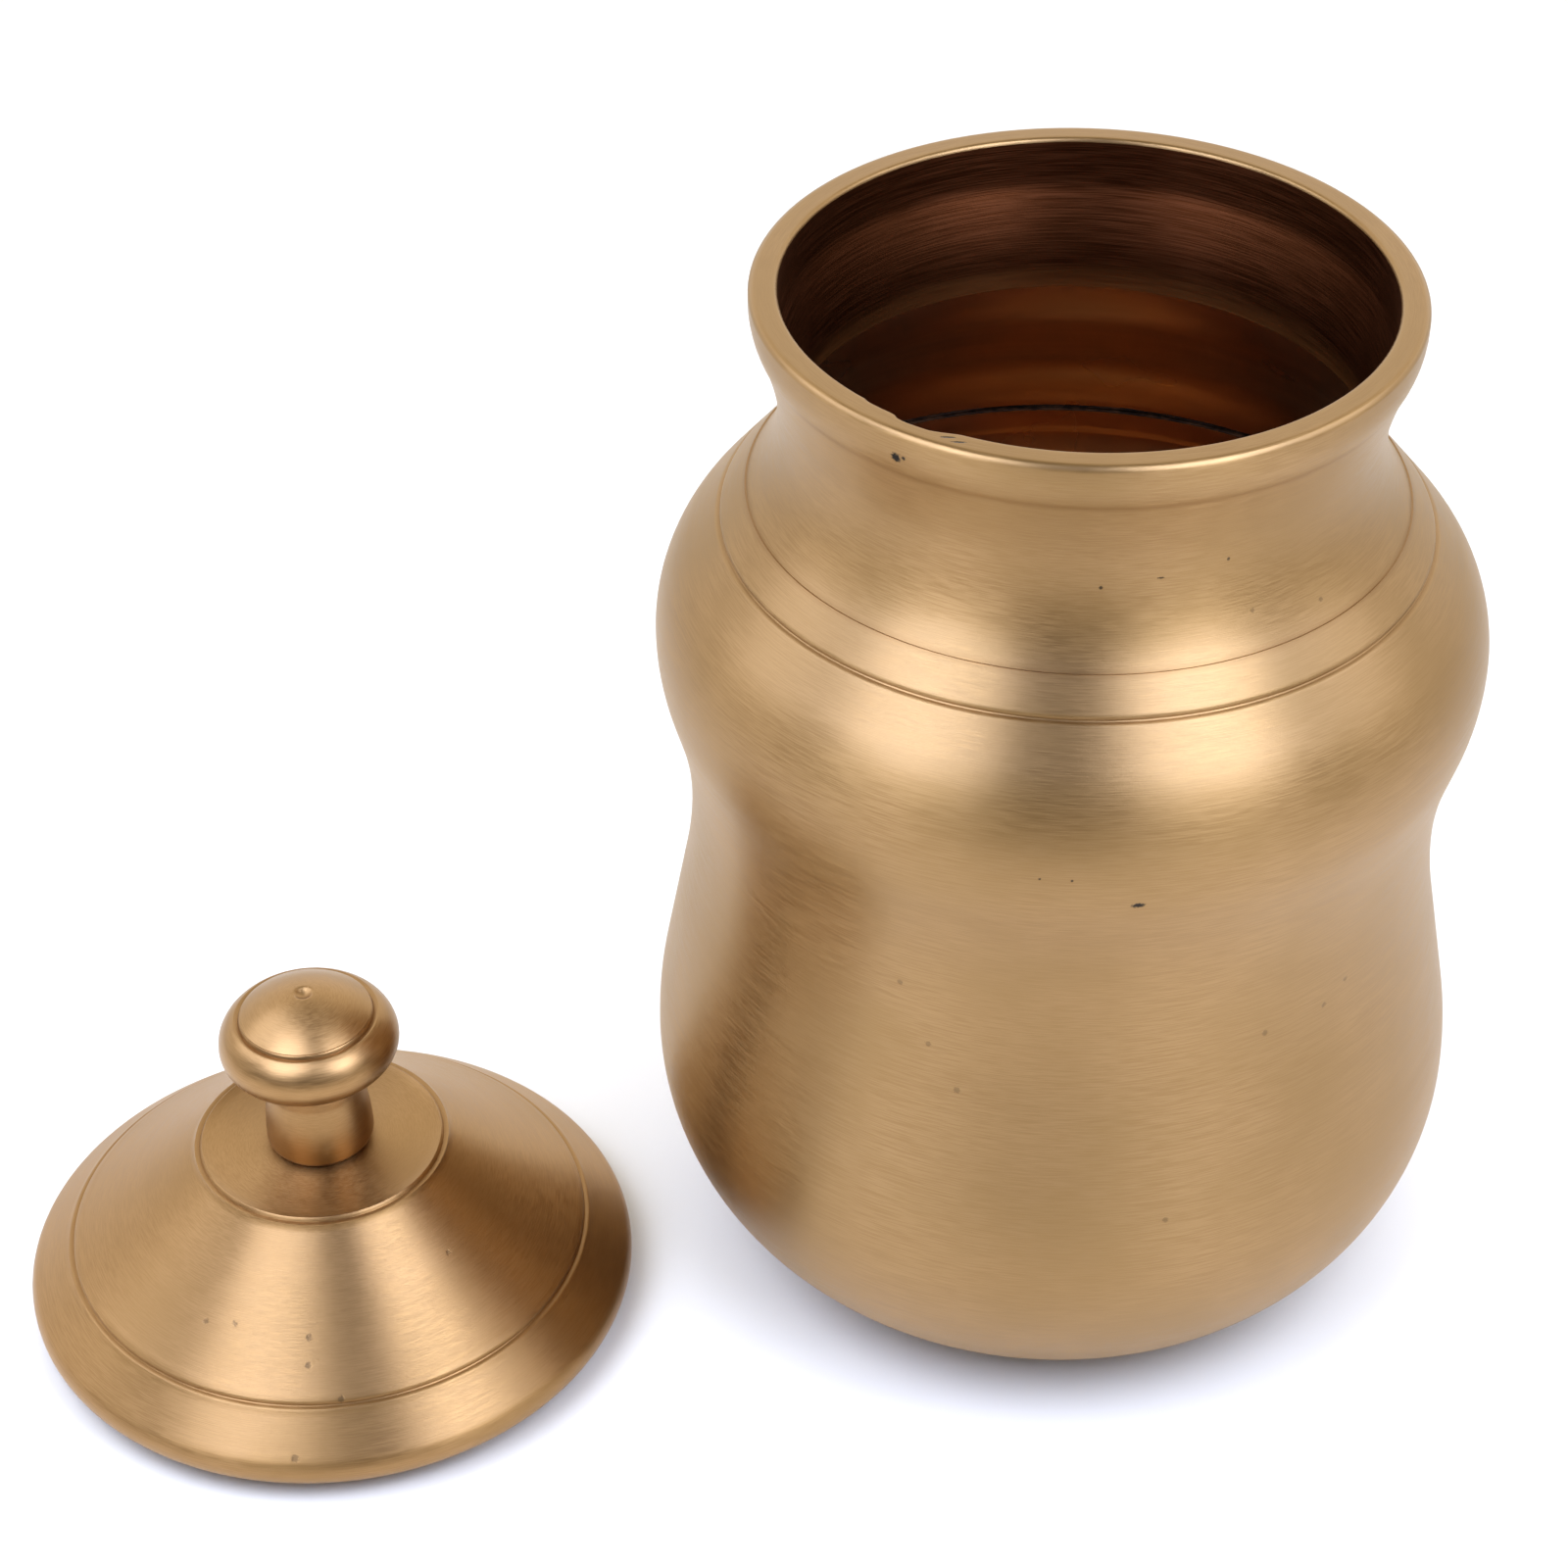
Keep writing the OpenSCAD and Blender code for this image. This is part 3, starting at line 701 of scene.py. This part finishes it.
def make_studio():
    """Pale floor, a room that is brighter behind the object, soft boxes on both sides near the
    object, a faint one in front, and a wash from overhead that whitens the floor."""
    floor_mesh = bpy.data.meshes.new("floor")
    corners = [(-1, -1), (1, -1), (1, 1), (-1, 1)]
    floor_mesh.from_pydata([(x * FLOOR_HALF, y * FLOOR_HALF, 0) for x, y in corners], [],
                           [(0, 1, 2, 3)])
    floor = bpy.data.objects.new("floor", floor_mesh)
    SCENE.collection.objects.link(floor)
    s = Shader("floor_paper")
    s.bsdf.inputs["Base Color"].default_value = FLOOR_COLOUR
    s.bsdf.inputs["Roughness"].default_value = FLOOR_ROUGHNESS
    floor_mesh.materials.append(s.material)
    world = bpy.data.worlds.new("studio")
    SCENE.world = world
    world.use_nodes = True
    tree = world.node_tree
    split = tree.nodes.new("ShaderNodeSeparateXYZ")
    tree.links.new(tree.nodes.new("ShaderNodeTexCoord").outputs["Generated"], split.inputs[0])
    level = tree.nodes.new("ShaderNodeMath")
    level.operation = "MULTIPLY"
    shades = (("Y", -0.9, 0.9, ROOM_FRONT, ROOM_BACK), ("Z", 0.6, 0.97, 1.0, ROOM_TOP))
    for socket, (axis, *numbers) in zip(level.inputs, shades):
        fade = tree.nodes.new("ShaderNodeMapRange")
        fade.interpolation_type = "SMOOTHSTEP"
        tree.links.new(split.outputs[axis], fade.inputs["Value"])
        for key, number in zip(RANGE_KEYS, numbers):
            fade.inputs[key].default_value = number
        tree.links.new(fade.outputs["Result"], socket)
    tree.links.new(level.outputs[0], tree.nodes["Background"].inputs["Color"])
    tree.nodes["Background"].inputs["Strength"].default_value = 1.0
    for box in BOXES:
        area_light(*box)
    area_light(*FLOOR_WASH, target=WASH_AIM, colour=WASH_COLOUR, glossy=False)
    SCENE.view_settings.view_transform = "Standard"
    SCENE.view_settings.look = "Medium High Contrast"
    SCENE.view_settings.exposure = EXPOSURE


make_camera()
make_studio()

upper_out, upper_in = upper_outside(), upper_inside()
skin = lower_side(0) + upper_out
stroke_marks = [(spot_on(r, a, POT_H), STROKE_R, STROKE_DEPTH, STROKE_STRETCH)
                for a, r in STROKES]
marks = [(spot_at(skin, a, h), radius, depth, stretch) for a, h, radius, depth, stretch in PITS]
marks += [(spot_at(skin, a, h), radius * STAIN_SPREAD, STAIN_DEPTH, 1.0)
          for a, h, radius in STAINS]
marks += stroke_marks
lid_marks = [(spot_on(r, a, z), LID_STAIN_R, LID_STAIN_DEPTH, 1.0) for a, r, z in LID_STAINS]

outside = satin_brass("satin_outside", spots=marks)
rim_face = satin_brass("satin_rim", RIM_BRASS, roughness=0.33, anisotropy=0.25,
                       spots=stroke_marks)
# Its dark colour, and the darker fade below NECK_FINISH_H, are painted shade inside the neck
neck_painted_shade = satin_brass("satin_neck_painted_shade", NECK_PAINTED_SHADE, roughness=0.45, anisotropy=0.5,
                          streak=0.4, coat=0.0, around=26.0, contrast=2.6, below=CAST)
cast_inside = cast_brass("cast_inside")
lid_outside = satin_brass("satin_lid", LID_BRASS, spots=lid_marks)
knob_skin = satin_brass("satin_knob", KNOB_BRASS, roughness=0.37, anisotropy=0.25, around=26.0)
fitting = plain_brass("plain_fitting")
braze = dark_braze("braze_filler")

# The last rings of the mouth's rounded edge already belong to the inside
MOUTH_RINGS = 6


def upper_slot(middle, index):
    """The outside and the rim are brushed, the neck's inside is brushed and darkened as painted
    shade, and the rest is as cast."""
    if index < len(upper_out) - MOUTH_RINGS:
        return 3 if middle[1] > POT_H - RIM_FACE_T else 0
    return 1 if middle[1] > NECK_FINISH_H - 2 else 2


# Painted shade darkens the shoulder's groove, the neck line and the line under the lip; a painted
# highlight lightens the rim's outer edge and the mouth's edge
pot_upper = lathe("pot_upper", upper_out + upper_in, AROUND_POT,
                  [outside, neck_painted_shade, cast_inside, rim_face], upper_slot,
                  shaded_creases=[(SHOULDER_R, SHOULDER_H), NECK_LINE, (LIP_LINE_R, LIP_H)],
                  highlight_edges=[(RIM_D / 2 - 0.3, POT_H - 0.3), (MOUTH_D / 2 + 0.2, POT_H - 0.2)],
                  closed=True, shape=nicked)
finish_piece(pot_upper, "pot", "satin_brass", "upper_shell")

lower = lower_outline()
lower_count = next(i for i, p in enumerate(lower)
                   if abs(p[0] - BULGE_D / 2) < 1e-3 and abs(p[1] - SEAM_H) < 1e-3)


def lower_slot(middle, index):
    """Outside brushed, inside as cast, and the tongue's top dark with filler."""
    if index <= lower_count:
        return 0
    return 2 if middle[1] > SEAM_H + TONGUE_H - FILLER_DEPTH else 1


pot_lower = lathe("pot_lower", lower, AROUND_POT, [outside, cast_inside, braze], lower_slot)
finish_piece(pot_lower, "pot", "satin_brass", "lower_shell")

# Painted shade darkens the band's groove, the platform's groove and the ring where the knob stands
# on the lid
lid = lathe("lid_cover", lid_outline(), AROUND_LID, [lid_outside], closed=True,
            shaded_creases=[(BAND_D / 2, BAND_H), (PLATFORM_D / 2, PLATFORM_H),
                     (FOOT_D / 2, PLATFORM_H)])
lid.location = (LID_X * MM, LID_Y * MM, 0)
finish_piece(lid, "lid", "satin_brass", "lid_shell")

# Painted shade darkens the cap's groove and the ring where the knob's foot meets the platform
knob = lathe("lid_knob", knob_outline(), AROUND_KNOB, [knob_skin],
             shaded_creases=[(KNOB_D / 2 - CAP_ROUND + CAP_ROUND * math.cos(math.radians(CAP_SLOPE)),
                       KNOB_H + CAP_ROUND * math.sin(math.radians(CAP_SLOPE))),
                      (FOOT_D / 2 - 0.5, 0.4)])
knob.location = (LID_X * MM, LID_Y * MM, PLATFORM_H * MM)
knob.rotation_euler = (0, math.radians(-KNOB_LEAN), 0)
finish_piece(knob, "lid", "satin_brass", "knob")

bead = [BEAD_C + BEAD_R * direction(a) for a in range(0, 360, 30)]
seam_bead = lathe("seam_bead", bead, AROUND_POT, [braze], closed=True, shape=lumpy)
finish_piece(seam_bead, "pot", "dark_braze", "seam_braze")

for node in ("register_ring", "knob_washer", "knob_screw"):
    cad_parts[node].data.materials.clear()
    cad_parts[node].data.materials.append(fitting)
